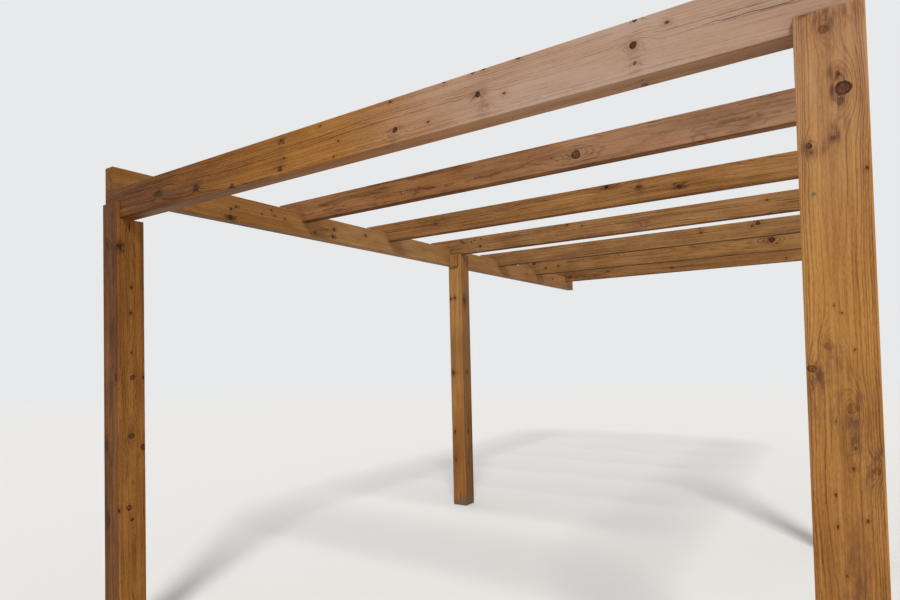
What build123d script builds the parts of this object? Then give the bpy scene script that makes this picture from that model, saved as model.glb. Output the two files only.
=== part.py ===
"""Timber pergola: an open frame of four posts, one front beam, jointed side beams and six rafters.

Millimetres, +Z up. X runs along the front beam, Y from the front to the rear.
The origin is on the ground, in the middle of the roof's plan.
"""
import os

from build123d import *

# Timber sections
post_size = 140
front_beam_thickness = 75
front_beam_height = 160
side_beam_thickness = 75
side_beam_height = 160
rafter_thickness = 65
rafter_height = 145
arris_radius = 4

# Plan
front_width = 3260
post_row_spacing = 3197
rafter_count = 6
rafter_over_post = 3
rafter_pitch = 944
rafter_tail_left = 150
rafter_tail_right = 40
rear_end_length = 190

# Heights and laps
shoulder_height = 2150
front_beam_lap = 40
rafter_lap = 65
lip_thickness = 15
left_lip_height = 85
right_lip_height = 35
lip_easing = 3
housing_depth = 25
joint_clearance = 0.5

# Cleats on the middle posts
cleat_width = 80
cleat_height = 110
cleat_thickness = 25
cleat_gap = 6
cleat_radius = 2

# Levels
front_beam_top = shoulder_height + front_beam_height
side_beam_bottom = front_beam_top - front_beam_lap
side_beam_top = side_beam_bottom + side_beam_height
rafter_bottom = side_beam_top - rafter_lap
rafter_middle = rafter_bottom + rafter_height / 2

# Lines across the plan
rafter_length = front_width + rafter_tail_left + rafter_tail_right
roof_left = -rafter_length / 2
frame_left = roof_left + rafter_tail_left
frame_right = frame_left + front_width
side_beam_inset = side_beam_thickness - housing_depth
left_beam_x = frame_left + side_beam_thickness / 2
right_beam_x = frame_right - side_beam_thickness / 2
left_middle_post = frame_left + side_beam_inset
right_middle_post = frame_right - side_beam_inset - post_size
cleat_offset = side_beam_thickness + cleat_gap + cleat_width / 2

# Lines along the plan
rafters_behind_post = rafter_count - rafter_over_post
roof_depth = post_row_spacing + rafters_behind_post * rafter_pitch + rafter_thickness + rear_end_length
frame_front = -roof_depth / 2
middle_post_front = frame_front + post_row_spacing
front_beam_front = frame_front + lip_thickness
side_beam_joint = middle_post_front + post_size / 2
side_beam_end = frame_front + roof_depth


def front_post(left_face, lip_height):
    """Post with a shoulder under the front beam and a thin lip, eased along its top, in front of it."""
    centre = (left_face + post_size / 2, frame_front + post_size / 2, 0)
    full_height = shoulder_height + lip_height
    with BuildPart() as post:
        with BuildSketch(Plane(origin=centre)):
            RectangleRounded(post_size, post_size, arris_radius)
        extrude(amount=full_height)
        with BuildSketch(Plane.XY.offset(shoulder_height)):
            with Locations((left_face, front_beam_front)):
                Rectangle(post_size, post_size, align=Align.MIN)
        extrude(amount=full_height, mode=Mode.SUBTRACT)
        fillet(post.faces().sort_by(Axis.Z)[-1].edges(), lip_easing)
    return post


def middle_post(left_face, housing_side):
    """Post housed on its outer side, where the side beam's lengths meet on its seat."""
    centre = (left_face + post_size / 2, middle_post_front + post_size / 2, 0)
    outer_face = centre[0] + housing_side * post_size / 2
    with BuildPart() as post:
        with BuildSketch(Plane(origin=centre)):
            RectangleRounded(post_size, post_size, arris_radius)
        extrude(amount=rafter_bottom)
        with BuildSketch(Plane.XY.offset(side_beam_bottom)):
            with Locations((outer_face, centre[1])):
                Rectangle(2 * housing_depth, 2 * post_size)
        extrude(amount=side_beam_height, mode=Mode.SUBTRACT)
    return post


def side_beam(centre_x, front_end, rear_end, laps_front_beam):
    """One length of a side beam, with a notch underneath where it crosses the front beam."""
    start = (centre_x, front_end, side_beam_bottom + side_beam_height / 2)
    with BuildPart() as beam:
        with BuildSketch(Plane(origin=start, x_dir=(1, 0, 0), z_dir=(0, 1, 0))):
            RectangleRounded(side_beam_thickness, side_beam_height, arris_radius)
        extrude(amount=rear_end - front_end)
        if laps_front_beam:
            with BuildSketch(Plane.YZ.offset(centre_x)):
                with Locations((front_end, front_beam_top)):
                    Rectangle(
                        front_beam_thickness + joint_clearance,
                        front_beam_lap,
                        align=(Align.MIN, Align.MAX),
                    )
            extrude(amount=side_beam_thickness, both=True, mode=Mode.SUBTRACT)
    return beam


def rafter(front_face):
    """Rafter notched underneath where it sits down over the two side beams."""
    start = (roof_left, front_face + rafter_thickness / 2, rafter_middle)
    notch_width = side_beam_thickness + 2 * joint_clearance
    with BuildPart() as timber:
        with BuildSketch(Plane(origin=start, x_dir=(0, 1, 0), z_dir=(1, 0, 0))):
            RectangleRounded(rafter_thickness, rafter_height, arris_radius)
        extrude(amount=rafter_length)
        with BuildSketch(Plane(origin=(0, start[1], rafter_bottom))):
            with Locations((left_beam_x, 0), (right_beam_x, 0)):
                Rectangle(notch_width, 2 * rafter_thickness)
        extrude(amount=rafter_lap, mode=Mode.SUBTRACT)
    return timber


def cleat(centre_x):
    """Small block on the front of a middle post, its top level with the post's top."""
    centre = (centre_x, middle_post_front - cleat_thickness, rafter_bottom - cleat_height / 2)
    with BuildPart() as block:
        with BuildSketch(Plane(origin=centre, x_dir=(1, 0, 0), z_dir=(0, 1, 0))):
            RectangleRounded(cleat_width, cleat_height, cleat_radius)
        extrude(amount=cleat_thickness)
    return block


pieces = {}

# Posts
pieces["front_left_post"] = front_post(frame_left, left_lip_height)
pieces["front_right_post"] = front_post(frame_right - post_size, right_lip_height)
pieces["middle_left_post"] = middle_post(left_middle_post, -1)
pieces["middle_right_post"] = middle_post(right_middle_post, 1)

# Front beam
with BuildPart() as front_beam:
    beam_start = (
        frame_left,
        front_beam_front + front_beam_thickness / 2,
        shoulder_height + front_beam_height / 2,
    )
    with BuildSketch(Plane(origin=beam_start, x_dir=(0, 1, 0), z_dir=(1, 0, 0))):
        RectangleRounded(front_beam_thickness, front_beam_height, arris_radius)
    extrude(amount=front_width)
pieces["front_beam"] = front_beam

# Side beams, each in a front and a rear length
for side, beam_x in (("left", left_beam_x), ("right", right_beam_x)):
    pieces[f"{side}_side_beam_front"] = side_beam(beam_x, front_beam_front, side_beam_joint, True)
    pieces[f"{side}_side_beam_rear"] = side_beam(beam_x, side_beam_joint, side_beam_end, False)

# Rafters, numbered from the front
for number in range(1, rafter_count + 1):
    rafter_front = middle_post_front + (number - rafter_over_post) * rafter_pitch
    pieces[f"rafter_{number}"] = rafter(rafter_front)

# Cleats
pieces["left_cleat"] = cleat(frame_left + cleat_offset)
pieces["right_cleat"] = cleat(frame_right - cleat_offset)

os.makedirs("parts", exist_ok=True)
for name, piece in pieces.items():
    piece.part.label = name
    export_step(piece.part, f"parts/{name}.step")
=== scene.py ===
"""Looks of the timber pergola: stained pine, nails and screws, floor, light and camera.

Metres, +Z up. X runs along the front beam, Y from the front to the rear.
The timbers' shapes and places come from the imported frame.
"""
import math
import random

import bmesh
import bpy
from mathutils import Matrix, Vector


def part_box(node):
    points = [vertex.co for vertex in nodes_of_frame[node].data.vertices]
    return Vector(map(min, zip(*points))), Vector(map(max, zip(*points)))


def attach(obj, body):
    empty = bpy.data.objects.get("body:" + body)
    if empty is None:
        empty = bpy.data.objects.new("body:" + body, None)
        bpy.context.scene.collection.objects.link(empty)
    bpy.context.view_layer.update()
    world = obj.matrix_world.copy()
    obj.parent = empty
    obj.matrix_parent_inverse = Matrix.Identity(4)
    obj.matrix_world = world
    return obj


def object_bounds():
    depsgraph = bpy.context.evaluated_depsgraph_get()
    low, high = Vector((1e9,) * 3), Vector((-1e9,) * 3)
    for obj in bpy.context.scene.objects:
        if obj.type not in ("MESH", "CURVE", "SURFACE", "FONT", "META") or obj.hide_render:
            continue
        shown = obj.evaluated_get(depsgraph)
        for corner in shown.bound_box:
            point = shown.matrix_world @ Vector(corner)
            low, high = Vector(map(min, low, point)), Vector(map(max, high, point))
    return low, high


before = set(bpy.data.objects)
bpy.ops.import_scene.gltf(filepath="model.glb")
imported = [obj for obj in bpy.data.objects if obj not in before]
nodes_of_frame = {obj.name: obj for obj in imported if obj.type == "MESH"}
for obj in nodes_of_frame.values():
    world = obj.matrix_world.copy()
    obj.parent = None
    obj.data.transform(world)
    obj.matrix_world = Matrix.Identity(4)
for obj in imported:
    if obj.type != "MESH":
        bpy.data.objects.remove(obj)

cad_low, cad_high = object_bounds()


def srgb(red, green, blue):
    """A colour given as 0 to 255 on screen, in Blender's linear values."""
    def linear(level):
        share = level / 255
        return share / 12.92 if share <= 0.04045 else ((share + 0.055) / 1.055) ** 2.4
    return (linear(red), linear(green), linear(blue), 1.0)


# Colours of the stained pine, from light to dark, then of knots, stains and weathering, and a pale
# colour that is partly weathering and partly painted sky sheen
HONEY = srgb(212, 163, 98)
AMBER = srgb(183, 132, 71)
CARAMEL = srgb(146, 96, 44)
UMBER = srgb(92, 54, 23)
PITCH = srgb(32, 18, 13)
KNOT_HEART = srgb(78, 48, 38)
STAIN = srgb(97, 65, 48)
# Pale pink-grey: partly wood bleached by weather, partly a painted sky reflection
BLEACHED_AND_SKY_SHEEN = srgb(177, 150, 134)
WEATHERED = srgb(158, 140, 110)
SILVER_GREY = srgb(150, 140, 128)
DUST = srgb(92, 83, 74)

# Sockets of a mix node that mixes colours
MIX_SHARE, MIX_FIRST, MIX_SECOND, MIX_RESULT = 0, 6, 7, 2


class Tree:
    """Short names for the shader nodes that this scene needs."""

    def __init__(self, tree):
        self.tree = tree

    def add(self, kind, inputs=None, **settings):
        """A node with these settings, and with inputs given by their name or number."""
        node = self.tree.nodes.new(kind)
        for name, value in settings.items():
            setattr(node, name, value)
        for name, value in (inputs or {}).items():
            self.join(value, node.inputs[name])
        return node

    def join(self, source, socket):
        """Link another node's output to a socket, or put a constant into it."""
        if isinstance(source, bpy.types.NodeSocket):
            self.tree.links.new(source, socket)
        else:
            socket.default_value = source

    def group(self, node_tree, inputs):
        """The outputs of a node group with these inputs."""
        return self.add("ShaderNodeGroup", inputs, node_tree=node_tree).outputs

    def end_with(self, shader, kind="ShaderNodeOutputMaterial"):
        self.add(kind, {"Surface": shader.outputs[0]})

    def math(self, operation, *values, clamp=False):
        inputs = dict(enumerate(values))
        return self.add("ShaderNodeMath", inputs, operation=operation, use_clamp=clamp).outputs[0]

    def times(self, first, second, clamp=False):
        return self.math("MULTIPLY", first, second, clamp=clamp)

    def plus(self, total, value, share=None, clamp=False):
        """The total and a value, or a share of that value."""
        value = value if share is None else self.times(value, share)
        return self.math("ADD", total, value, clamp=clamp)

    def minus(self, total, value, share=None):
        """The total without a value, or without a share of that value."""
        value = value if share is None else self.times(value, share)
        return self.math("SUBTRACT", total, value)

    def vector(self, operation, *values, scale=None):
        node = self.add("ShaderNodeVectorMath", dict(enumerate(values)), operation=operation)
        if scale is not None:
            self.join(scale, node.inputs["Scale"])
        return node.outputs["Value"] if operation in ("LENGTH", "DOT_PRODUCT") else node.outputs[0]

    def parts(self, vector):
        """A vector's three numbers."""
        return self.add("ShaderNodeSeparateXYZ", {0: vector}).outputs

    def joined(self, numbers):
        """Three numbers as a vector."""
        return self.add("ShaderNodeCombineXYZ", dict(enumerate(numbers))).outputs[0]

    def ramp(self, value, low, high, to_low=0.0, to_high=1.0, smooth=True):
        inputs = dict(enumerate((value, low, high, to_low, to_high)))
        kind = "SMOOTHSTEP" if smooth else "LINEAR"
        return self.add("ShaderNodeMapRange", inputs, interpolation_type=kind).outputs[0]

    def sway(self, value, amount, low=0.3, high=0.7):
        """Noise between low and high, spread from minus to plus this amount."""
        return self.ramp(value, low, high, -amount, amount, smooth=False)

    def noise_node(self, place, scale, detail, rough=0.5, line=False):
        """A noise in space, or one that changes along one number only."""
        inputs = {"W" if line else "Vector": place, "Scale": scale, "Detail": detail, "Roughness": rough}
        return self.add("ShaderNodeTexNoise", inputs, noise_dimensions="1D" if line else "3D")

    def noise(self, place, scale, detail, rough=0.5):
        return self.noise_node(place, scale, detail, rough).outputs["Fac"]

    def line_noise(self, place, scale, detail):
        return self.noise_node(place, scale, detail, line=True).outputs["Fac"]

    def pattern(self, place, across, along, detail, rough):
        """Noise with this many cells in a metre across the grain and along it."""
        return self.noise(self.vector("MULTIPLY", place, (across, across, along)), 1.0, detail, rough)

    def wander(self, noise_node, width):
        """A noise's colour as a shift to either side, this wide in all."""
        centred = self.vector("SUBTRACT", noise_node.outputs["Color"], (0.5, 0.5, 0.5))
        return self.vector("MULTIPLY", centred, width)

    def mix(self, share, first, second):
        inputs = {MIX_SHARE: share, MIX_FIRST: first, MIX_SECOND: second}
        return self.add("ShaderNodeMix", inputs, data_type="RGBA").outputs[MIX_RESULT]

    def colours(self, value, stops):
        """A colour between stops, each a place from 0 to 1 and a colour."""
        node = self.add("ShaderNodeValToRGB", {0: value})
        ends = node.color_ramp.elements
        ends[0].position, ends[0].color = stops[0]
        ends[1].position, ends[1].color = stops[-1]
        for place, colour in stops[1:-1]:
            ends.new(place).color = colour
        return node.outputs[0]


def empty_tree(owner):
    """The node tree of a new material or world, with nothing in it."""
    owner.use_nodes = True
    owner.node_tree.nodes.clear()
    return Tree(owner.node_tree)


NUMBER, VECTOR, COLOUR = "NodeSocketFloat", "NodeSocketVector", "NodeSocketColor"
RING_MASKS = ("Rings", "Heart", "Rim", "Halo")
FULL_RANGE = (0.0, 1.0)
MIDDLE_RANGE = (0.25, 0.75)
ALONG_GRAIN = (0.0, 0.0, 1.0)
ACROSS_GRAIN = (1.0, 1.0, 0.0)


def group_tree(name, inputs, outputs):
    """An empty node group with the sockets named for each kind, and its inner ends."""
    tree = bpy.data.node_groups.new(name, "ShaderNodeTree")
    for in_out, kinds in (("INPUT", inputs), ("OUTPUT", outputs)):
        for kind, labels in kinds.items():
            for label in labels:
                tree.interface.new_socket(label, in_out=in_out, socket_type=kind)
    given = tree.nodes.new("NodeGroupInput").outputs
    made = tree.nodes.new("NodeGroupOutput").inputs
    return Tree(tree), given, made


# A knot: the bulge that it makes in the rings, then its heart, rim and halo in shares of its radius
KNOT_STRETCH = (1.0, 1.0, 0.42)
KNOT_FALL = -0.28
HEART_EDGE = (1.0, 0.86)
RIM_INSIDE = (0.72, 0.95)
RIM_OUTSIDE = (1.22, 1.0)
HALO_REACH = (2.9, 0.7)
RING_BLEND = 2.5
FEWEST_RINGS = 0.5


def make_knot_group():
    """One branch: a cone from the pith outwards that the growth rings flow round."""
    t, given, made = group_tree(
        "knot",
        {VECTOR: ("Place", "Base", "Direction"), NUMBER: RING_MASKS + ("Growth", "Pull", "Dark")},
        {NUMBER: RING_MASKS},
    )
    from_base = t.vector("SUBTRACT", given["Place"], given["Base"])
    along = t.math("MAXIMUM", t.vector("DOT_PRODUCT", from_base, given["Direction"]), 0.0)
    aside = t.vector("SUBTRACT", from_base, t.vector("SCALE", given["Direction"], scale=along))
    knot_rings = t.math("DIVIDE", t.vector("LENGTH", aside), given["Growth"])
    grown = t.math("MAXIMUM", given["Rings"], FEWEST_RINGS)
    share = t.math("DIVIDE", knot_rings, grown)
    stretched = t.vector("LENGTH", t.vector("MULTIPLY", aside, KNOT_STRETCH))
    reach = t.math("DIVIDE", t.math("DIVIDE", stretched, given["Growth"]), grown)
    bulge = t.math("EXPONENT", t.times(t.times(reach, reach), KNOT_FALL))
    flowed = t.minus(given["Rings"], bulge, given["Pull"])
    heart = t.times(t.ramp(share, *HEART_EDGE), given["Dark"])
    rim = t.times(t.ramp(share, *RIM_INSIDE), t.ramp(share, *RIM_OUTSIDE))
    halo = t.times(t.ramp(reach, *HALO_REACH), given["Dark"])
    t.join(t.math("SMOOTH_MIN", flowed, knot_rings, RING_BLEND), made["Rings"])
    t.join(t.math("MAXIMUM", heart, given["Heart"]), made["Heart"])
    t.join(t.math("MAXIMUM", t.times(rim, given["Dark"]), given["Rim"]), made["Rim"])
    t.join(t.math("MAXIMUM", halo, given["Halo"]), made["Halo"])
    return t.tree


# A pin's spot and smudge: shares of its radius where each starts and is full, and its darkness
PIN_STRETCH = (1.0, 1.0, 0.62)
PIN_SPOT = (1.05, 0.4, 0.0, 0.72)
PIN_SMUDGE = (3.4, 0.9, 0.0, 0.16)


def make_pin_group():
    """A pin knot or dark spot that is too small to turn the rings."""
    t, given, made = group_tree(
        "pin",
        {VECTOR: ("Place", "Centre"), NUMBER: ("Ragged", "Rim", "Radius")},
        {NUMBER: ("Rim",)},
    )
    aside = t.vector("MULTIPLY", t.vector("SUBTRACT", given["Place"], given["Centre"]), PIN_STRETCH)
    share = t.math("DIVIDE", t.times(t.vector("LENGTH", aside), given["Ragged"]), given["Radius"])
    spot = t.plus(t.ramp(share, *PIN_SPOT), t.ramp(share, *PIN_SMUDGE))
    t.join(t.math("MAXIMUM", spot, given["Rim"]), made["Rim"])
    return t.tree


STAIN_FALL = -1.4


def make_stain_group():
    """A soft brown patch, longer than it is wide."""
    t, given, made = group_tree(
        "stain",
        {
            VECTOR: ("Place", "Centre", "Lean"),
            NUMBER: ("Stain", "Half Length", "Half Width", "Strength"),
        },
        {NUMBER: ("Stain",)},
    )
    from_centre = t.vector("SUBTRACT", given["Place"], given["Centre"])
    along = t.vector("DOT_PRODUCT", from_centre, given["Lean"])
    beside = t.vector("SUBTRACT", from_centre, t.vector("SCALE", given["Lean"], scale=along))
    along = t.math("DIVIDE", along, given["Half Length"])
    aside = t.math("DIVIDE", t.vector("LENGTH", beside), given["Half Width"])
    spread = t.plus(t.times(along, along), t.times(aside, aside))
    patch = t.times(t.math("EXPONENT", t.times(spread, STAIN_FALL)), given["Strength"])
    t.join(t.math("MAXIMUM", patch, given["Stain"]), made["Stain"])
    return t.tree


# A check's dark middle as a share of its width, and how it tapers at its ends
CHECK_MIDDLE = 0.45
CHECK_TAPER = (0.0, 0.25)


def make_check_group():
    """One drying check: a thin wandering split in a plane through the pith."""
    t, given, made = group_tree(
        "check",
        {
            VECTOR: ("Place", "Outwards", "Across"),
            NUMBER: ("Wander", "Split", "Middle", "Half Length", "Half Width", "Depth"),
        },
        {NUMBER: ("Split",)},
    )
    level = t.vector("DOT_PRODUCT", given["Place"], ALONG_GRAIN)
    out = t.vector("DOT_PRODUCT", given["Place"], given["Outwards"])
    aside = t.plus(t.vector("DOT_PRODUCT", given["Place"], given["Across"]), given["Wander"])
    reach = t.math("DIVIDE", t.minus(level, given["Middle"]), given["Half Length"])
    open_share = t.math("SUBTRACT", 1.0, t.times(reach, reach), clamp=True)
    half_width = t.times(open_share, given["Half Width"])
    split = t.ramp(t.math("ABSOLUTE", aside), half_width, t.times(half_width, CHECK_MIDDLE))
    split = t.times(split, t.math("GREATER_THAN", out, given["Depth"]))
    split = t.times(split, t.ramp(open_share, *CHECK_TAPER))
    t.join(t.math("MAXIMUM", split, given["Split"]), made["Split"])
    return t.tree


# Patterns in the wood: cells in a metre across the grain and along it, detail and roughness
PATTERNS = {
    "fibre": (480.0, 7.0, 3.0, 0.6),
    "streak": (90.0, 1.3, 3.0, 0.6),
    "cloud": (9.0, 2.6, 4.0, 0.62),
    "band": (34.0, 1.6, 2.0, 0.6),
    "grit": (430.0, 75.0, 2.0, 0.7),
    "speck": (700.0, 45.0, 2.0, 0.6),
    "mottle": (170.0, 110.0, 2.0, 0.6),
    "ragged": (75.0, 26.0, 4.0, 0.65),
}

# Late wood: a step from year to year, when it is darkest, and how its start and strength vary
YEAR_STEP = 7.31
LATE_PEAK = 0.9
LATE_START = (0.3, 0.7, 0.3, 0.66)
LATE_BY_YEAR = (0.2, 0.75, 1.25, 0.45)
LATE_BY_STREAK = (0.25, 0.7, 0.6, 1.25)


def late_wood(t, rings, streak):
    """The dark late part of each year's ring."""
    year = t.math("FLOOR", rings)
    since = t.minus(rings, year)
    year_tone = t.line_noise(t.times(year, YEAR_STEP), 1.0, 0.0)
    start = t.ramp(year_tone, *LATE_START, smooth=False)
    late = t.times(t.ramp(since, start, LATE_PEAK), t.ramp(since, 1.0, LATE_PEAK))
    late = t.times(late, t.ramp(year_tone, *LATE_BY_YEAR, smooth=False))
    return t.times(late, t.ramp(streak, *LATE_BY_STREAK, smooth=False))


# The wood's colours by darkness, how far patterns move the darkness, and what marks add to it, with
# painted shade on undersides and a painted highlight on arrises
STAINED = ((0.0, HONEY), (0.26, AMBER), (0.5, CARAMEL), (0.76, UMBER), (1.0, PITCH))
SWAYS = {"fibre": 0.05, "grit": 0.06, "streak": 0.06, "cloud": 0.06, "band": 0.05}
SPECKS = (0.64, 0.72, 0.0, 0.16)
HALO_BY_CLOUD = (0.35, 0.62, 0.3, 1.0)
HEART_BY_MOTTLE = (0.35, 0.65, 0.08, 0.38)
ARRIS_HIGHLIGHT_BY_STREAK = (0.3, 0.6, 0.03, 0.15)
HALO_TONE = 0.2
STAIN_TONE = 0.06
END_TONE = 0.12
UNDER_PAINTED_SHADE = 0.13
RIM_TONE = 0.46
SPLIT_TONE = 0.85


def pine_darkness(t, given, patterns, late, stain):
    """Where the wood is between HONEY at 0 and PITCH at 1."""
    def sway(name):
        return t.sway(patterns[name], SWAYS[name])

    dark = t.plus(given["Dark"], late, given["Contrast"])
    dark = t.plus(dark, sway("fibre"))
    dark = t.plus(dark, sway("grit"))
    broad = t.plus(t.plus(sway("streak"), sway("cloud")), sway("band"))
    dark = t.plus(dark, broad, given["Figure"])
    dark = t.plus(dark, t.ramp(patterns["speck"], *SPECKS))
    halo = t.times(given["Halo"], t.ramp(patterns["cloud"], *HALO_BY_CLOUD))
    dark = t.plus(dark, t.times(halo, halo), HALO_TONE)
    dark = t.plus(dark, stain, STAIN_TONE)
    dark = t.plus(dark, given["Heart"], t.ramp(patterns["mottle"], *HEART_BY_MOTTLE))
    dark = t.plus(dark, given["End"], END_TONE)
    # Undersides darker: painted shade
    dark = t.plus(dark, given["Under"], UNDER_PAINTED_SHADE)
    # Lighter along the arrises: worn edges with a painted highlight
    dark = t.minus(dark, given["Arris"], t.ramp(patterns["streak"], *ARRIS_HIGHLIGHT_BY_STREAK))
    dark = t.plus(dark, given["Rim"], RIM_TONE)
    return t.plus(dark, given["Split"], SPLIT_TONE)


# How bleaching with its painted sky sheen, silver grey and dust vary, and how far stains and hearts
# cover the colour
BLEACH_BY_CLOUD = (0.3, 0.65, 1.0, 0.7)
BLEACH_BY_DARKNESS = (0.35, 0.9, 1.0, 0.35)
GREY_BY_STREAK = (0.3, 0.65, 0.08, 0.45)
DUST_BY_CLOUD = (0.25, 0.6, 0.45, 0.9)
UNDER_SHELTER = 0.7
STAIN_COVER = 0.8
HEART_COVER = 0.5


def pine_colour(t, given, patterns, dark, stain):
    """The colour of the wood, bleached by weather and paled by a painted sky sheen, greyed by weather,
    stained, and dusty at its foot.
    """
    colour = t.colours(dark, STAINED)
    clear = t.minus(1.0, t.math("MAXIMUM", given["Heart"], given["Rim"], clamp=True))
    # Bleach mixes in the pale colour: weathering, and on some timbers a painted sky sheen
    bleach = t.times(t.times(given["Bleach"], clear), t.ramp(patterns["cloud"], *BLEACH_BY_CLOUD))
    bleach = t.times(bleach, t.minus(1.0, given["Under"], UNDER_SHELTER))
    bleach = t.times(bleach, t.ramp(dark, *BLEACH_BY_DARKNESS))
    colour = t.mix(bleach, colour, given["Bleached"])
    colour = t.mix(t.times(stain, STAIN_COVER, clamp=True), colour, STAIN)
    colour = t.mix(t.times(given["Heart"], HEART_COVER), colour, KNOT_HEART)
    grey = t.times(given["Top"], t.ramp(patterns["streak"], *GREY_BY_STREAK))
    colour = t.mix(grey, colour, SILVER_GREY)
    dust = t.times(given["Foot"], t.ramp(patterns["cloud"], *DUST_BY_CLOUD))
    return t.mix(dust, colour, DUST)


# Roughness of the wood and how it varies
PINE_ROUGHNESS = 0.52
ROUGH_BY_FIBRE = (0.3, 0.7, -0.06, 0.08)
LATE_GLOSS = 0.06
HEART_GLOSS = 0.1
END_ROUGHER = 0.22
SPLIT_ROUGHER = 0.3


def pine_roughness(t, given, fibre, late):
    """Glossier in late wood and hearts, rougher on end grain, in splits and on dull undersides."""
    rough = t.plus(PINE_ROUGHNESS, t.ramp(fibre, *ROUGH_BY_FIBRE, smooth=False))
    rough = t.minus(rough, late, LATE_GLOSS)
    rough = t.minus(rough, given["Heart"], HEART_GLOSS)
    rough = t.plus(rough, given["End"], END_ROUGHER)
    rough = t.plus(rough, given["Under"], given["Dull"])
    return t.plus(rough, given["Split"], SPLIT_ROUGHER, clamp=True)


# How much patterns break up a stain, and the relief of the surface
BREAKUP_SHARE = 0.3
STAIN_BY_BREAKUP = (0.62, 0.96, 0.15, 1.35)
FIBRE_RELIEF = 0.2
STREAK_RELIEF = 0.3
SPLIT_RELIEF = 2.5


def make_pine_group():
    """The wood itself from its ring count, knots and splits: colour, roughness and height."""
    t, given, made = group_tree(
        "pine",
        {
            VECTOR: ("Place",),
            NUMBER: RING_MASKS + ("Split", "End", "Top", "Under", "Arris", "Foot", "Stain", "Bleach",
                                  "Dark", "Contrast", "Figure", "Dull"),
            COLOUR: ("Bleached",),
        },
        {COLOUR: ("Colour",), NUMBER: ("Roughness", "Height")},
    )
    patterns = {name: t.pattern(given["Place"], *values) for name, values in PATTERNS.items()}
    fibre, streak = patterns["fibre"], patterns["streak"]
    late = late_wood(t, given["Rings"], streak)
    breakup = t.plus(patterns["ragged"], t.plus(streak, fibre), BREAKUP_SHARE)
    stain = t.times(given["Stain"], t.ramp(breakup, *STAIN_BY_BREAKUP))
    dark = pine_darkness(t, given, patterns, late, stain)
    height = t.plus(t.times(fibre, FIBRE_RELIEF), streak, STREAK_RELIEF)
    t.join(pine_colour(t, given, patterns, dark, stain), made["Colour"])
    t.join(pine_roughness(t, given, fibre, late), made["Roughness"])
    t.join(t.minus(height, given["Split"], SPLIT_RELIEF), made["Height"])
    return t.tree


KNOT_GROUP = make_knot_group()
PIN_GROUP = make_pin_group()
STAIN_GROUP = make_stain_group()
CHECK_GROUP = make_check_group()
PINE_GROUP = make_pine_group()

# Axes of a timber by the axis that its grain follows: two across the grain, then the grain itself
LOCAL_AXES = {"x": (1, 2, 0), "y": (2, 0, 1), "z": (0, 1, 2)}

# Branches: how far they stand square to the face, lean outwards from the pith, and rise
BRANCH_SQUARE = 0.75
BRANCH_OUTWARDS = 0.25
BRANCH_RISE = 0.1

# Knots drawn for hidden faces, in whorls
FIRST_DRAW = 100
WHORL_PLACE = (0.25, 0.75)
WHORL_FACES = 2
WHORL_ACROSS = 0.7
WHORL_ALONG = 0.04
DRAWN_RADII = (0.0035, 0.0055, 0.0075, 0.0095, 0.0115)
SMALLEST_KNOT = 0.005
DRAWN_DARK = (0.6, 1.0)
DRAWN_PULL = (2.0, 4.0)

# Drying checks
CHECK_DEPTH = 0.06
CHECK_NOISE = (4.0, 3.0)
CHECK_WANDER = 0.009

# Surface: facing of ends, upper sides and undersides, width of an arris, and the foot's dirt
END_FACING = (0.6, 0.85)
TOP_FACING = (0.5, 0.9)
UNDER_FACING = (-0.5, -0.9)
ARRIS_BAND = (0.006, 0.001)
ARRIS_FACING = (-0.25, 0.15)
# How squarely a face must look along a shaded face's direction to take its painted shade
SHADED_FACING = (0.3, 0.9)
FOOT_PATTERN = (30.0, 6.0, 3.0, 0.5)
FOOT_RAGGED = 0.16
FOOT_DIRT = (0.04, -0.06)

# Growth rings: the pith's drift, ripples and wavers, the trunk's taper, and uneven years
DRIFT_NOISE = (0.9, 1.5)
DRIFT_WIDTH = (0.05, 0.05, 0.0)
RIPPLE_CELLS = (15.0, 15.0, 1.1)
RIPPLE_DETAIL = 3.0
WAVER_CELLS = (1.7, 1.7, 6.0)
WAVER_DETAIL = 2.0
TRUNK_TAPER = 0.004
UNEVEN_NOISE = (0.22, 1.0)
UNEVEN_YEARS = 1.4
JAG_PATTERN = (190.0, 26.0, 2.0, 0.6)
JAG_YEARS = 0.16

# Steps along the noises from one timber to the next
DRIFT_STEP = 3.7
RIPPLE_STEP = 5.3
YEARS_STEP = 11.0
WOOD_STEP = 7.9

# Ragged outlines of knots, stains and pins, the contrast that a halo adds, and the finish
SHAKE_NOISE = (32.0, 1.0)
SHAKE_WIDTH = (0.007, 0.007, 0.013)
PIN_NOISE = (260.0, 2.0, 0.7)
PIN_RAGGED = (0.25, 0.75, 0.55, 1.6)
HALO_CONTRAST = 0.45
PINE_SPECULAR = 0.08
BUMP = {"Distance": 0.001, "Strength": 0.7}


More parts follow.
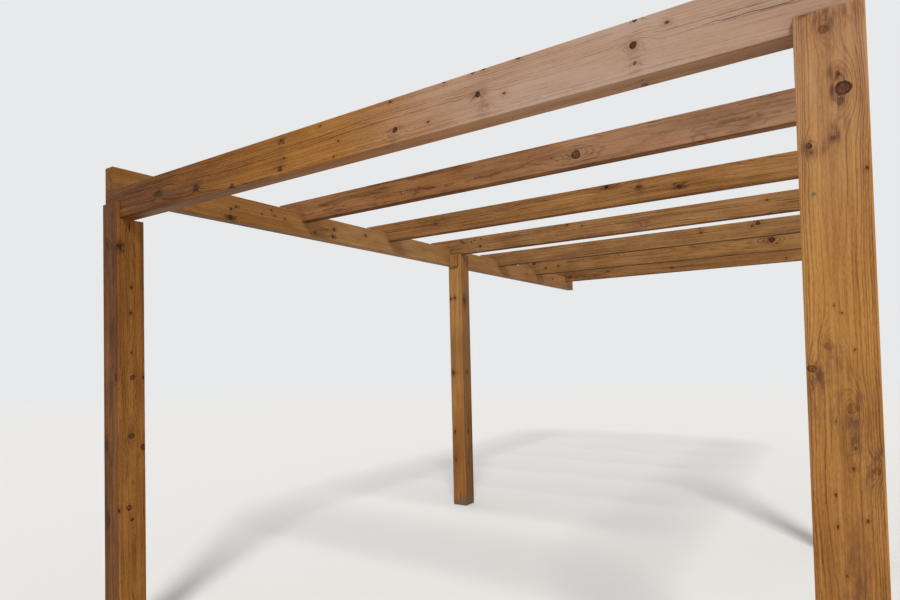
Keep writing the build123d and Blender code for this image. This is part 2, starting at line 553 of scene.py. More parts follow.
class Timber:
    """One piece of pine: its box, the line of its pith, its looks and the marks on its faces.

    The pith is given across from the box's middle, spacing is the width of a year's ring, and flat
    is the contrast where rings lie flat in a face. Dark, bleach and tones are numbers,
    or slopes along the grain: a place, its value, a place, its value. Bleach_and_sheen pales the wood,
    partly by weathering and partly as a painted sky sheen; tones darken faces with painted shade.
    """

    def __init__(self, node, grain, pith, seed, spacing=0.005, ripple=0.005, waver=0.0016,
                 dark=0.5, bleach=0.0, contrast=0.3, flat=0.24, figure=1.0, dull=0.0,
                 bleached=WEATHERED, tones=None):
        self.node = node
        self.axes = LOCAL_AXES[grain]
        low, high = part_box(node)
        self.low = Vector([low[i] for i in self.axes])
        self.high = Vector([high[i] for i in self.axes])
        self.middle = (self.low + self.high) / 2
        self.half = (self.high - self.low) / 2
        self.pith = Vector((self.middle[0] + pith[0], self.middle[1] + pith[1], self.low[2]))
        self.seed = seed
        self.spacing = spacing
        self.ripple = ripple
        self.waver = waver
        self.dark = dark
        self.bleach = bleach
        self.contrast = contrast
        self.flat = flat
        self.figure = figure
        self.dull = dull
        self.bleached = bleached
        self.tones = tones or {}
        self.knots = []
        self.pins = []
        self.stains = []
        self.checks = []

    def side(self, face):
        """Which of the two axes across the grain a face such as -y looks along."""
        return self.axes.index("xyz".index(face[1]))

    def face_normal(self, face):
        """The direction out of a face, in the pith's frame."""
        normal = Vector((0.0, 0.0, 0.0))
        normal[self.side(face)] = -1.0 if face[0] == "-" else 1.0
        return normal

    def face_point(self, face, along, across):
        """A point on a face in the pith's frame, from a world place along the grain and across."""
        side = self.side(face)
        point = Vector((0.0, 0.0, along - self.pith[2]))
        outwards = self.face_normal(face)[side] * self.half[side]
        point[side] = self.middle[side] + outwards - self.pith[side]
        point[1 - side] = self.middle[1 - side] + across - self.pith[1 - side]
        return point

    def knot(self, face, along, across, radius, dark=1.0, pull=2.2):
        """A knot of this radius on a face. Pull is how far the rings bulge round it."""
        point = self.face_point(face, along, across)
        outwards = Vector((point[0], point[1], 0.0))
        reach = outwards.length
        lean = BRANCH_SQUARE * self.face_normal(face) + BRANCH_OUTWARDS * outwards.normalized()
        direction = (lean + Vector((0.0, 0.0, BRANCH_RISE))).normalized()
        self.knots.append({
            "Base": tuple(point - reach * direction),
            "Direction": tuple(direction),
            "Growth": radius * self.spacing / reach,
            "Pull": pull,
            "Dark": dark,
        })

    def pin(self, face, along, across, radius):
        """A pin knot or a small dark spot on a face."""
        self.pins.append({"Centre": tuple(self.face_point(face, along, across)), "Radius": radius})

    def stain(self, face, along, across, length, width, strength, lean=0.0):
        """A brown patch on a face, its long side this many degrees from the grain, towards across."""
        direction = Vector((0.0, 0.0, math.cos(math.radians(lean))))
        direction[1 - self.side(face)] = math.sin(math.radians(lean))
        self.stains.append({
            "Centre": tuple(self.face_point(face, along, across)),
            "Lean": tuple(direction),
            "Half Length": length / 2,
            "Half Width": width / 2,
            "Strength": strength,
        })

    def check(self, face, along, across, length, width):
        """A drying check on a face, along the grain."""
        point = self.face_point(face, along, across)
        outwards = Vector((point[0], point[1], 0.0))
        depth = max(outwards.length - CHECK_DEPTH, 0.0)
        outwards.normalize()
        self.checks.append({
            "Outwards": tuple(outwards),
            "Across": (-outwards[1], outwards[0], 0.0),
            "Middle": point[2],
            "Half Length": length / 2,
            "Half Width": width / 2,
            "Depth": depth,
        })

    def mark(self, face, knots=(), pins=(), stains=(), checks=()):
        """Marks on one face, each a row of the values that its own function takes."""
        kinds = ((self.knot, knots), (self.pin, pins), (self.stain, stains), (self.check, checks))
        for make, rows in kinds:
            for row in rows:
                make(face, *row)

    def scatter(self, faces, count):
        """Knots in whorls on the faces that the photograph doesn't show."""
        draw = random.Random(FIRST_DRAW + self.seed)
        length = self.high[2] - self.low[2]
        for i in range(count):
            along = self.low[2] + length * (i + draw.uniform(*WHORL_PLACE)) / count
            for face in draw.sample(faces, WHORL_FACES):
                half_width = self.half[1 - self.side(face)]
                across = draw.uniform(-WHORL_ACROSS, WHORL_ACROSS) * half_width
                radius = draw.choice(DRAWN_RADII)
                place = along + draw.uniform(-WHORL_ALONG, WHORL_ALONG)
                if radius < SMALLEST_KNOT:
                    self.pin(face, place, across, radius)
                else:
                    dark = draw.uniform(*DRAWN_DARK)
                    pull = draw.uniform(*DRAWN_PULL)
                    self.knot(face, place, across, radius, dark, pull)

    def local_place(self, t):
        """The shaded point in the pith's frame, and its height in the world."""
        world = t.parts(t.add("ShaderNodeTexCoord").outputs["Object"])
        turned = t.joined([world[axis] for axis in self.axes])
        return t.vector("SUBTRACT", turned, tuple(self.pith)), world[2]

    def surface_masks(self, t, place, height):
        """End grain, upper side, underside, arris and foot, and the normal in the pith's frame."""
        facing = t.parts(t.add("ShaderNodeNewGeometry").outputs["Normal"])
        end = t.ramp(t.math("ABSOLUTE", facing[self.axes[2]]), *END_FACING)
        not_end = t.minus(1.0, end)
        centre = tuple(self.middle - self.pith)
        from_centre = t.vector("ABSOLUTE", t.vector("SUBTRACT", place, centre))
        inside = t.parts(t.vector("SUBTRACT", tuple(self.half), from_centre))
        arris = t.ramp(t.math("MAXIMUM", inside[0], inside[1]), *ARRIS_BAND)
        dirt_height = t.minus(height, t.pattern(place, *FOOT_PATTERN), FOOT_RAGGED)
        masks = {
            "End": end,
            "Top": t.times(t.ramp(facing[2], *TOP_FACING), not_end),
            "Under": t.times(t.ramp(facing[2], *UNDER_FACING), not_end),
            "Arris": t.times(arris, t.ramp(facing[2], *ARRIS_FACING)),
            "Foot": t.ramp(dirt_height, *FOOT_DIRT),
        }
        return masks, t.joined([facing[axis] for axis in self.axes])

    def rings(self, t, place, normal):
        """Rings counted from a wandering pith, the level, and how steeply they meet the face."""
        along = t.parts(place)[2]
        level = t.plus(along, DRIFT_STEP * self.seed)
        drift = t.wander(t.noise_node(level, *DRIFT_NOISE, line=True), DRIFT_WIDTH)
        outwards = t.vector("MULTIPLY", t.vector("ADD", place, drift), ACROSS_GRAIN)
        ripple_place = t.vector("ADD", place, (0.0, 0.0, RIPPLE_STEP * self.seed))
        ripple_place = t.vector("MULTIPLY", ripple_place, RIPPLE_CELLS)
        waver_place = t.vector("MULTIPLY", ripple_place, WAVER_CELLS)
        ripple = t.sway(t.noise(ripple_place, 1.0, RIPPLE_DETAIL), self.ripple, *FULL_RANGE)
        waver = t.sway(t.noise(waver_place, 1.0, WAVER_DETAIL), self.waver, *MIDDLE_RANGE)
        radius = t.plus(t.plus(t.vector("LENGTH", outwards), ripple), waver)
        radius = t.plus(radius, along, TRUNK_TAPER)
        count = t.math("DIVIDE", radius, self.spacing)
        uneven = t.line_noise(t.plus(count, YEARS_STEP * self.seed), *UNEVEN_NOISE)
        count = t.plus(count, t.sway(uneven, UNEVEN_YEARS, *FULL_RANGE))
        count = t.plus(count, t.sway(t.pattern(place, *JAG_PATTERN), JAG_YEARS, *MIDDLE_RANGE))
        square = t.vector("DOT_PRODUCT", t.vector("NORMALIZE", outwards), normal)
        return count, level, t.minus(1.0, t.times(square, square))

    def slope(self, t, place, value):
        """One number, or a value that changes between two places along the grain."""
        if isinstance(value, float):
            return value
        along = t.plus(t.vector("DOT_PRODUCT", place, ALONG_GRAIN), self.pith[2])
        from_place, from_value, to_place, to_value = value
        return t.ramp(along, from_place, to_place, from_value, to_value)

    def darkness(self, t, place, normal):
        """How dark the stained wood is, with painted shade on the shaded faces."""
        dark = self.slope(t, place, self.dark)
        for face, tone in self.tones.items():
            towards = t.vector("DOT_PRODUCT", normal, tuple(self.face_normal(face)))
            dark = t.plus(dark, t.ramp(towards, *SHADED_FACING), self.slope(t, place, tone))
        return dark

    def knotted(self, t, shaken, rings):
        """Rings, hearts, rims and halos with all knots. Each knot turns the rings that it meets."""
        masks = {"Rings": rings, "Heart": 0.0, "Rim": 0.0, "Halo": 0.0}
        for knot in self.knots:
            made = t.group(KNOT_GROUP, {"Place": shaken, **masks, **knot})
            masks = {name: made[name] for name in RING_MASKS}
        return masks

    def pinned(self, t, place, rim):
        """The rims with every pin knot."""
        if self.pins:
            ragged = t.ramp(t.noise(place, *PIN_NOISE), *PIN_RAGGED, smooth=False)
        for pin in self.pins:
            rim = t.group(PIN_GROUP, {"Place": place, "Ragged": ragged, "Rim": rim, **pin})["Rim"]
        return rim

    def stained(self, t, shaken):
        """How strong the brown patches are."""
        patches = 0.0
        for stain in self.stains:
            patches = t.group(STAIN_GROUP, {"Place": shaken, "Stain": patches, **stain})["Stain"]
        return patches

    def checked(self, t, place, level):
        """Where the drying checks are open."""
        split = 0.0
        if self.checks:
            wander = t.sway(t.line_noise(level, *CHECK_NOISE), CHECK_WANDER, *FULL_RANGE)
        for check in self.checks:
            inputs = {"Place": place, "Wander": wander, "Split": split, **check}
            split = t.group(CHECK_GROUP, inputs)["Split"]
        return split

    def make_material(self):
        """The timber's own pine, put on its slots."""
        material = bpy.data.materials.new(self.node + "_pine")
        t = empty_tree(material)
        place, height = self.local_place(t)
        surface_masks, normal = self.surface_masks(t, place, height)
        rings, level, steep = self.rings(t, place, normal)
        shaken = t.vector("ADD", place, t.wander(t.noise_node(place, *SHAKE_NOISE), SHAKE_WIDTH))
        masks = self.knotted(t, shaken, rings)
        masks["Rim"] = self.pinned(t, place, masks["Rim"])
        contrast = t.plus(t.times(steep, 1.0 - self.flat), self.flat)
        contrast = t.plus(contrast, masks["Halo"], HALO_CONTRAST)
        pine = t.group(PINE_GROUP, {
            "Place": t.vector("ADD", place, (0.0, 0.0, WOOD_STEP * self.seed)),
            "Split": self.checked(t, place, level),
            "Stain": self.stained(t, shaken),
            "Bleach": self.slope(t, place, self.bleach),
            "Dark": self.darkness(t, place, normal),
            "Contrast": t.times(contrast, self.contrast),
            "Figure": self.figure,
            "Dull": self.dull,
            "Bleached": self.bleached,
            **masks,
            **surface_masks,
        })
        bump = t.add("ShaderNodeBump", {**BUMP, "Height": pine["Height"]})
        t.end_with(t.add("ShaderNodeBsdfPrincipled", {
            "Base Color": pine["Colour"],
            "Roughness": pine["Roughness"],
            "Specular IOR Level": PINE_SPECULAR,
            "Normal": bump.outputs[0],
        }))
        for slot in nodes_of_frame[self.node].material_slots:
            slot.material = material


TIMBERS = []


def add_timber(node, grain, pith, **look):
    """The next timber. Its seed is its place in the order of making."""
    timber = Timber(node, grain, pith, len(TIMBERS) + 1, **look)
    TIMBERS.append(timber)
    return timber


# Marks found in the photograph. Most knots and pins were put on the faces with the fitted
# camera, to a millimetre. A row holds the places along the grain and across, then a knot's radius,
# darkness and pull, a pin's radius, a stain's length, width, strength and lean, or a check's length
# and width


def dress_front_right_post():
    # Darker towards the foot, partly its own tone and partly painted shade; paler towards the top,
    # partly weathering and partly painted sky sheen
    post = add_timber("front_right_post", "z", (-0.004, -0.03), ripple=0.0035, waver=0.0011,
                      dark=(0.92, 0.44, 1.4, 0.375), bleach=(1.5, 0.03, 2.15, 0.28), contrast=0.33,
                      bleached=BLEACHED_AND_SKY_SHEEN)
    post.mark("-y", knots=(
        (1.993, 0.022, 0.0125, 1.0, 5.0), (2.138, -0.01, 0.007, 0.45, 3.0),
        (1.887, 0.0, 0.005, 0.4, 3.0), (1.875, -0.046, 0.005),
        (1.417, -0.024, 0.0075, 0.2, 3.5), (1.366, -0.058, 0.0085, 0.65),
        (1.392, 0.006, 0.004, 0.05, 3.0), (1.345, -0.014, 0.005, 0.05, 4.0),
        (1.205, 0.014, 0.005, 0.2, 3.5), (1.277, 0.014, 0.008, 0.25, 4.5),
        (1.145, 0.054, 0.007, 0.3, 3.5),
    ), pins=(
        (2.028, 0.014, 0.006), (1.807, 0.06, 0.004), (1.507, -0.011, 0.0022),
        (1.49, 0.003, 0.0025), (1.407, 0.024, 0.0025), (1.249, -0.016, 0.0022),
        (1.191, 0.018, 0.004), (1.145, 0.013, 0.004), (1.084, -0.022, 0.004),
        (1.034, 0.034, 0.004), (1.014, -0.021, 0.0035), (0.908, -0.008, 0.003),
    ), stains=(
        (2.158, -0.008, 0.1, 0.075, 0.9, -18.0),
        (2.11, 0.004, 0.16, 0.03, 0.5, 10.0),
        (2.162, 0.034, 0.08, 0.07, 0.6),
        (2.03, 0.008, 0.05, 0.035, 1.0),
        (1.972, 0.012, 0.045, 0.035, 1.5),
        (1.992, 0.002, 0.05, 0.016, 1.2),
        (1.868, -0.034, 0.05, 0.08, 0.9),
        (1.894, 0.004, 0.09, 0.04, 0.9, 14.0),
        (1.34, -0.044, 0.11, 0.05, 1.0, 16.0),
        (1.392, -0.012, 0.13, 0.045, 0.6, -30.0),
        (1.262, 0.02, 0.12, 0.045, 1.0, 16.0),
        (1.205, 0.022, 0.07, 0.03, 1.0, 8.0),
        (1.155, 0.052, 0.14, 0.04, 0.9, 14.0),
        (1.255, -0.02, 0.1, 0.035, 0.5),
        # A dark band along the lip's top edge, where it meets the beam
        (2.183, -0.046, 0.02, 0.06, 1.0),
        (0.9, 0.014, 0.3, 0.07, 0.6),
        (1.315, -0.046, 0.26, 0.07, 0.38),
        (1.285, -0.006, 0.22, 0.09, 0.3),
        (1.225, 0.024, 0.28, 0.07, 0.42, 8.0),
        (1.13, 0.05, 0.2, 0.07, 0.38, 10.0),
        (1.99, 0.006, 0.2, 0.1, 0.18),
    ))
    post.scatter(("-x", "+x", "+y"), 4)


def dress_front_left_post():
    # Darker than the other posts, partly its own tone and partly painted shade; its front face darker
    # still: painted shade
    post = add_timber("front_left_post", "z", (0.022, 0.004), ripple=0.008, waver=0.0028,
                      dark=(0.9, 0.54, 2.0, 0.58), contrast=0.22, flat=0.55, tones={"-y": 0.16})
    post.mark("-y", knots=(
        (2.022, -0.02, 0.01), (2.001, 0.055, 0.007, 0.7), (1.339, 0.051, 0.01),
        (0.99, -0.043, 0.017, 1.0, 3.5), (0.61, -0.033, 0.011),
    ), checks=((0.19, 0.012, 0.42, 0.0035),))
    post.mark("+x", knots=(
        (2.005, -0.057, 0.009), (1.8, 0.001, 0.006, 0.8),
        (1.336, 0.002, 0.0085, 0.7, 4.5), (1.037, -0.003, 0.01, 1.0, 5.5),
        (0.972, 0.057, 0.011), (0.674, -0.017, 0.013, 0.7, 4.5), (0.612, -0.003, 0.009),
    ), pins=(
        (1.667, -0.003, 0.007), (1.464, -0.001, 0.005),
        (1.333, 0.064, 0.008), (0.671, -0.068, 0.008),
    ), stains=((1.03, -0.002, 0.12, 0.035, 0.9),), checks=((2.113, -0.006, 0.07, 0.0065),))
    post.scatter(("-x", "+y"), 4)


def dress_middle_left_post():
    # Its +x face darker: painted shade
    post = add_timber("middle_left_post", "z", (0.004, -0.016), dark=(0.5, 0.5, 1.5, 0.41),
                      bleach=(0.4, 0.04, 1.8, 0.18), tones={"+x": 0.15})
    post.mark("-y", knots=(
        (1.945, -0.052, 0.008), (1.957, -0.004, 0.007), (1.241, -0.042, 0.01),
        (0.686, -0.035, 0.0075), (0.423, -0.032, 0.006),
    ), stains=(
        (1.95, -0.02, 0.05, 0.12, 0.7), (1.241, -0.03, 0.05, 0.09, 0.7),
    ), checks=((0.078, 0.009, 0.155, 0.006),))
    post.mark("+x", knots=(
        (1.934, -0.017, 0.015, 1.0, 3.5), (1.244, -0.008, 0.011), (0.684, -0.003, 0.008),
    ), stains=(
        (1.94, 0.0, 0.06, 0.1, 0.9), (1.244, 0.0, 0.05, 0.09, 0.8),
    ))
    post.scatter(("-x", "+y"), 4)


def dress_front_beam():
    # Darker towards the left end, its front face most: painted shade. Paler and pinker towards the right
    # end: partly weathering, partly painted sky sheen
    beam = add_timber("front_beam", "x", (0.05, -0.15), spacing=0.0064, ripple=0.008,
                      dark=(-1.3, 0.56, 0.5, 0.42), bleach=(0.0, 0.0, 0.9, 1.0), bleached=BLEACHED_AND_SKY_SHEEN,
                      tones={"-y": (-1.6, 0.18, 0.2, 0.0)})
    beam.mark("-y", knots=(
        (1.174, 0.01, 0.0085, 1.0, 4.0), (1.177, -0.04, 0.005, 0.7),
        (1.181, 0.077, 0.006), (0.684, 0.002, 0.0075), (0.716, -0.041, 0.006, 0.2, 4.0),
        (0.354, -0.034, 0.0085, 1.0, 5.0), (-0.223, 0.053, 0.0065),
        (-0.231, -0.058, 0.0085, 1.0, 3.5), (-0.789, -0.037, 0.0095),
        (-1.083, -0.015, 0.012, 1.0, 3.5),
    ), pins=(
        (1.263, 0.044, 0.006), (-1.083, -0.017, 0.009), (-0.789, -0.033, 0.008),
        (0.78, -0.017, 0.005), (0.494, -0.039, 0.005), (0.335, 0.069, 0.006),
        (-0.207, -0.018, 0.005), (0.086, -0.014, 0.0045), (0.062, -0.069, 0.0045),
        (-0.006, 0.063, 0.0045), (0.56, 0.077, 0.006), (0.67, 0.077, 0.006),
        (0.71, 0.077, 0.006), (0.83, 0.077, 0.006),
    ), stains=(
        (1.177, -0.015, 0.05, 0.12, 0.45), (0.7, -0.03, 0.05, 0.12, 0.45),
        (0.34, -0.06, 0.05, 0.05, 0.6), (-0.225, 0.0, 0.05, 0.15, 0.45),
        (-0.95, -0.02, 0.4, 0.04, 0.5),
    ), checks=((1.47, 0.008, 0.33, 0.0013),))
    beam.scatter(("+y", "-z", "+z"), 4)


def dress_side_beams():
    # Darker towards the front end and paler towards the rear: painted light
    front = add_timber("left_side_beam_front", "y", (-0.03, -0.075), dark=(-2.4, 0.51, -1.2, 0.45),
                       bleach=(-2.3, 0.1, -1.0, 0.35))
    front.mark("+x", knots=(
        (-2.411, -0.004, 0.008), (-2.415, -0.058, 0.012), (-1.709, -0.043, 0.008),
        (-1.516, 0.01, 0.011), (-1.528, -0.044, 0.011), (-1.166, 0.018, 0.009),
    ), pins=(
        (-2.175, 0.006, 0.006), (-2.097, 0.046, 0.006),
        (-2.068, 0.012, 0.006), (-1.983, 0.007, 0.006),
    ))
    rear = add_timber("left_side_beam_rear", "y", (0.035, -0.07), bleach=0.25)
    rear.mark("+x", knots=((0.339, 0.033, 0.011),))
    for beam in (front, rear):
        beam.scatter(("-x", "-z", "+z"), 3)
    for length, pith, dark in (("front", (0.02, 0.08), 0.48), ("rear", (-0.04, 0.08), 0.5)):
        beam = add_timber(f"right_side_beam_{length}", "y", pith, dark=dark, bleach=0.2)
        beam.scatter(("-x", "+x", "-z"), 4)


# Rafters from the front: pith, waver, contrast, darkness, the underside's painted shade, bleach and
# sheen, and its colour
RAFTER_LOOKS = (
    ((0.09, -0.02), 0.0045, 0.32, 0.53, 0.0, (-0.5, 0.15, 1.2, 0.5), BLEACHED_AND_SKY_SHEEN),
    ((0.05, 0.09), 0.002, 0.34, 0.5, 0.02, 0.2, WEATHERED),
    ((0.06, -0.1), 0.002, 0.36, 0.5, 0.05, 0.3, WEATHERED),
    ((-0.05, 0.07), 0.002, 0.36, 0.5, 0.12, 0.3, WEATHERED),
    ((0.08, 0.05), 0.002, 0.36, 0.51, 0.12, 0.25, WEATHERED),
    ((0.04, -0.08), 0.002, 0.36, 0.55, 0.12, 0.2, WEATHERED),
)
RAFTER_MARKS = {
    2: {
        "knots": ((0.56, 0.02, 0.007), (0.802, -0.02, 0.01)),
        "pins": ((-1.02, 0.004, 0.008),),
        "stains": ((0.56, 0.0, 0.05, 0.12, 0.8),),
    },
    3: {
        "knots": ((-1.35, 0.032, 0.007), (-1.262, 0.027, 0.007)),
        "pins": ((-0.313, 0.056, 0.008), (-0.181, 0.029, 0.007), (1.19, 0.025, 0.008),
                 (-1.376, 0.045, 0.006), (-1.225, 0.04, 0.006), (-1.16, 0.047, 0.006)),
        "stains": ((0.3, -0.02, 0.26, 0.09, 0.9),),
    },
    4: {
        "knots": ((1.031, 0.053, 0.008, 0.7),),
        "pins": ((0.566, 0.065, 0.009), (0.573, 0.023, 0.009), (0.984, 0.025, 0.009)),
    },
    5: {
        "knots": ((-1.361, -0.004, 0.009), (-1.197, 0.004, 0.009), (1.055, 0.063, 0.007, 0.7),
                  (1.091, 0.0, 0.0075, 0.7)),
    },
    6: {
        "knots": ((-0.914, 0.002, 0.0095, 0.8), (-1.439, -0.016, 0.01), (1.104, -0.034, 0.0085, 0.8)),
        "pins": ((-0.118, -0.025, 0.011),),
    },
}
# Rafters darker towards their left ends: painted shade
LEFT_END_PAINTED_SHADE = 0.06


def dress_rafters():
    for number, look in enumerate(RAFTER_LOOKS, start=1):
        pith, waver, contrast, dark, under_shade, bleach, bleached = look
        rafter = add_timber(f"rafter_{number}", "x", pith, spacing=0.0075, ripple=0.009, waver=waver,
                            dark=(-0.8, dark + LEFT_END_PAINTED_SHADE, 1.1, dark), bleach=bleach,
                            contrast=contrast, flat=0.5, figure=1.2, dull=0.4, bleached=bleached,
                            tones={"-z": under_shade})
        rafter.mark("-y", **RAFTER_MARKS.get(number, {}))
        rafter.scatter(("+y", "-z", "+z"), 4)


def dress_hidden_timbers():
    """The right middle post and the cleats."""
    post = add_timber("middle_right_post", "z", (-0.008, 0.01))
    post.scatter(("-x", "+x", "-y", "+y"), 5)
    for side in ("left", "right"):
        add_timber(f"{side}_cleat", "z", (0.05, 0.06), bleach=0.25)


# Seeds follow the order of these calls
dress_front_right_post()
dress_front_left_post()
dress_middle_left_post()
dress_front_beam()
dress_side_beams()
dress_rafters()
dress_hidden_timbers()
for timber in TIMBERS:
    timber.make_material()

# Profiles of the steel heads from the recess to the shank's end: radius, and height over the timber
SCREW_PROFILE = (
    (0.0, -0.0008), (0.0009, -0.0007), (0.0017, 0.0011), (0.0024, 0.0014), (0.0038, 0.0011),
    (0.0046, 0.0004), (0.0047, -0.0002), (0.0022, -0.0022), (0.0018, -0.02), (0.0, -0.024),
)
NAIL_PROFILE = (
    (0.0, 0.0006), (0.0022, 0.0007), (0.0034, 0.0009), (0.0041, 0.0006), (0.0042, -0.0002),
    (0.0016, -0.0008), (0.0014, -0.03), (0.0, -0.034),
)
HEAD_SIDES = 32
RECESS_RINGS = 3
RECESS_ARMS = 4
RECESS_SPREAD = 0.35

# Steel: colour and how metallic it is, then its brown spots
BLACKED_STEEL = (srgb(46, 38, 34), 0.4)
DULL_ZINC = (srgb(112, 106, 101), 0.7)
STEEL_ROUGHNESS = 0.45
SPOT_NOISE = (900.0, 3.0, 0.6)
SPOT_EDGE = (0.5, 0.68)
SPOT_COVER = 0.6
SPOT_ROUGHER = 0.3

# Fixings: across from the post's middle, and height
LIP_SCREWS = ((-0.009, 2.193), (0.027, 2.189))
POST_NAIL = (-0.041, 1.765)


def add_object(name, data):
    """An object in the scene with this mesh, lens or lamp."""
    made = bpy.data.objects.new(name, data)
    bpy.context.scene.collection.objects.link(made)
    return made


def add_shape(name, shape, material):
    """An object in the scene with this shape and material."""
    mesh = bpy.data.meshes.new(name)
    shape.to_mesh(mesh)
    shape.free()
    mesh.materials.append(material)
    return add_object(name, mesh)


def make_steel(name, colour, metallic):
    """Steel that has dulled in the weather, with brown spots."""
    material = bpy.data.materials.new(name)
    t = empty_tree(material)
    place = t.add("ShaderNodeTexCoord").outputs["Object"]
    spots = t.ramp(t.noise(place, *SPOT_NOISE), *SPOT_EDGE)
    t.end_with(t.add("ShaderNodeBsdfPrincipled", {
        "Base Color": t.mix(t.times(spots, SPOT_COVER), colour, UMBER),
        "Metallic": metallic,
        "Roughness": t.plus(t.times(spots, SPOT_ROUGHER), STEEL_ROUGHNESS),
    }))
    return material


def head_ring(shape, place, radius, height, crossed):
    """One ring of points round a head's axis, or its one point on the axis."""
    if radius == 0.0:
        return [shape.verts.new(place + Vector((0.0, -height, 0.0)))]
    ring = []
    for side in range(HEAD_SIDES):
        angle = 2 * math.pi * side / HEAD_SIDES
        reach = radius * (1 + RECESS_SPREAD * math.cos(RECESS_ARMS * angle)) if crossed else radius
        offset = Vector((reach * math.cos(angle), -height, reach * math.sin(angle)))
        ring.append(shape.verts.new(place + offset))
    return ring


def make_head(name, place, profile, crossed, material):
    """A screw or nail driven square into a front face. A crossed one has a recess with four arms."""
    shape = bmesh.new()
    rings = [head_ring(shape, place, radius, height, crossed and step < RECESS_RINGS)
             for step, (radius, height) in enumerate(profile)]
    for inner, outer in zip(rings, rings[1:]):
        for side in range(HEAD_SIDES):
            after = (side + 1) % HEAD_SIDES
            if len(inner) == 1:
                shape.faces.new((inner[0], outer[side], outer[after]))
            elif len(outer) == 1:
                shape.faces.new((inner[after], inner[side], outer[0]))
            else:
                shape.faces.new((inner[side], outer[side], outer[after], inner[after]))
    bmesh.ops.recalc_face_normals(shape, faces=shape.faces)
    head = add_shape(name, shape, material)
    head.data.shade_smooth()
    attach(head, "root")


def make_fixings():
    """Two screws through the left post's lip and a nail in the right post's front."""
    post_front = cad_low[1]
    left_low, left_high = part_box("front_left_post")
    right_low, right_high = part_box("front_right_post")
    left_middle = (left_low[0] + left_high[0]) / 2
    right_middle = (right_low[0] + right_high[0]) / 2
    blacked = make_steel("blacked_steel", *BLACKED_STEEL)
    for number, (across, level) in enumerate(LIP_SCREWS, start=1):
        place = Vector((left_middle + across, post_front, level))
        make_head(f"lip_screw_{number}", place, SCREW_PROFILE, True, blacked)
    zinc = make_steel("dull_zinc", *DULL_ZINC)
    across, level = POST_NAIL
    place = Vector((right_middle + across, post_front, level))
    make_head("post_nail", place, NAIL_PROFILE, False, zinc)


# Camera, fitted to the posts' and beams' edges in the 900 by 600 photograph
IMAGE_WIDTH = 900
IMAGE_HEIGHT = 600
CAMERA_PLACE = Vector((1.6244, -4.7463, 1.4171))
CAMERA_YAW = math.radians(33.708)
CAMERA_PITCH = math.radians(1.705)
CAMERA_ROLL = math.radians(-1.285)
FOCAL_PIXELS = 600.86
OPTICAL_CENTRE = (445.4, 336.7)
SENSOR_WIDTH = 36.0
FARTHEST_SEEN = 200.0


def make_camera():
    """A level look to the left of the depth axis, turned up and rolled a little."""
    level = Vector((-math.sin(CAMERA_YAW), math.cos(CAMERA_YAW), 0.0))
    right = Vector((math.cos(CAMERA_YAW), math.sin(CAMERA_YAW), 0.0))
    zenith = Vector((0.0, 0.0, 1.0))
    forward = math.cos(CAMERA_PITCH) * level + math.sin(CAMERA_PITCH) * zenith
    up = -math.sin(CAMERA_PITCH) * level + math.cos(CAMERA_PITCH) * zenith
    rolled_right = math.cos(CAMERA_ROLL) * right + math.sin(CAMERA_ROLL) * up
    rolled_up = -math.sin(CAMERA_ROLL) * right + math.cos(CAMERA_ROLL) * up
    lens = bpy.data.cameras.new("camera")
    lens.sensor_width = SENSOR_WIDTH
    lens.lens = FOCAL_PIXELS / IMAGE_WIDTH * SENSOR_WIDTH
    lens.shift_x = (IMAGE_WIDTH / 2 - OPTICAL_CENTRE[0]) / IMAGE_WIDTH
    lens.shift_y = (OPTICAL_CENTRE[1] - IMAGE_HEIGHT / 2) / IMAGE_WIDTH
    lens.clip_end = FARTHEST_SEEN
    camera = add_object("camera", lens)
    turn = Matrix((rolled_right, rolled_up, -forward)).transposed().to_4x4()
    camera.matrix_world = Matrix.Translation(CAMERA_PLACE) @ turn
    bpy.context.scene.camera = camera


# Backdrop and floor. The floor fades into the backdrop between two distances
BACKDROP = srgb(232, 233, 234)
FLOOR_FINISH = {"Base Color": srgb(236, 235, 232), "Roughness": 0.9, "Specular IOR Level": 0.1}
FLOOR_RADIUS = 60.0
FLOOR_SIDES = 96
FLOOR_FADE = (9.0, 26.0)


def seen_in_picture(t):
    """One for what the camera or a reflection sees, and nothing for what lights the scene."""
    ray = t.add("ShaderNodeLightPath").outputs
    return t.math("MAXIMUM", ray["Is Camera Ray"], ray["Is Glossy Ray"])


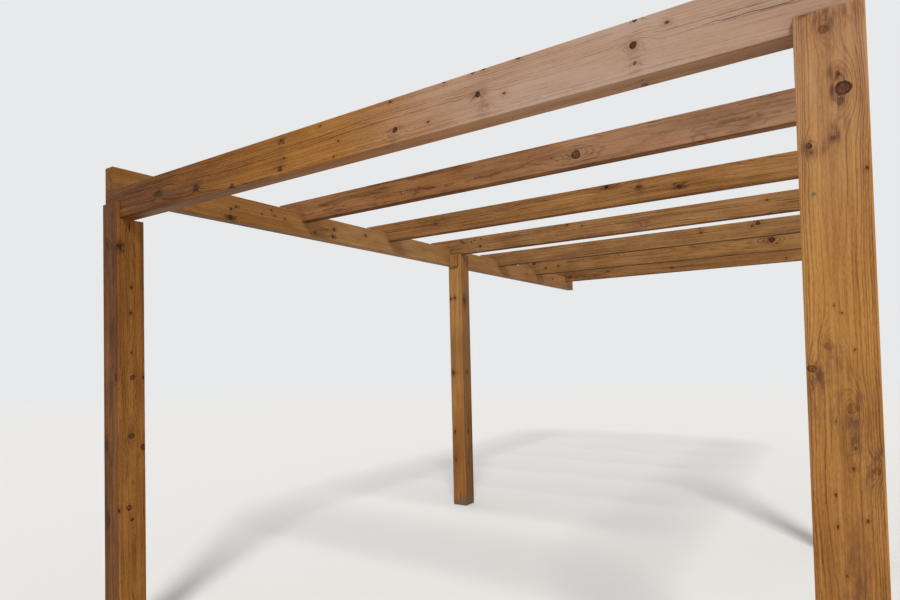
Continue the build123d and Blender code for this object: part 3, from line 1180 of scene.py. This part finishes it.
def make_floor():
    """A round pale floor that fades into the backdrop's colour far out."""
    shape = bmesh.new()
    bmesh.ops.create_circle(shape, cap_ends=True, segments=FLOOR_SIDES, radius=FLOOR_RADIUS)
    material = bpy.data.materials.new("floor")
    t = empty_tree(material)
    place = t.add("ShaderNodeTexCoord").outputs["Object"]
    far = t.ramp(t.vector("LENGTH", place), *FLOOR_FADE)
    matt = t.add("ShaderNodeBsdfPrincipled", FLOOR_FINISH)
    glow = t.add("ShaderNodeEmission", {"Color": BACKDROP})
    share = t.times(far, seen_in_picture(t))
    t.end_with(t.add("ShaderNodeMixShader", {0: share, 1: matt.outputs[0], 2: glow.outputs[0]}))
    floor = add_shape("floor", shape, material)


# The even light, then each lamp: the direction towards it, strength, width in degrees and colour
EVEN_LIGHT = {"Color": (0.99, 0.99, 1.0, 1.0), "Strength": 0.45}
LAMPS = {
    "key": ((0.42, -0.66, 0.72), 2.25, 14.0, (1.0, 0.98, 0.95)),
    "fill": ((-0.7, 0.3, 0.5), 0.35, 60.0, (0.92, 0.96, 1.0)),
}


def make_lamp(name, towards, strength, width, colour):
    lamp = bpy.data.lights.new(name, "SUN")
    lamp.energy = strength
    lamp.angle = math.radians(width)
    lamp.color = colour
    holder = add_object(name, lamp)
    holder.rotation_mode = "QUATERNION"
    holder.rotation_quaternion = Vector(towards).to_track_quat("Z", "Y")


def make_light():
    """Soft light from the front right over an even surrounding light."""
    world = bpy.data.worlds.new("studio")
    bpy.context.scene.world = world
    t = empty_tree(world)
    even = t.add("ShaderNodeBackground", EVEN_LIGHT)
    backdrop = t.add("ShaderNodeBackground", {"Color": BACKDROP, "Strength": 1.0})
    inputs = {0: seen_in_picture(t), 1: even.outputs[0], 2: backdrop.outputs[0]}
    t.end_with(t.add("ShaderNodeMixShader", inputs), "ShaderNodeOutputWorld")
    for name, values in LAMPS.items():
        make_lamp(name, *values)
    bpy.context.scene.view_settings.view_transform = "Standard"


make_fixings()
make_camera()
make_floor()
make_light()

bpy.context.view_layer.update()
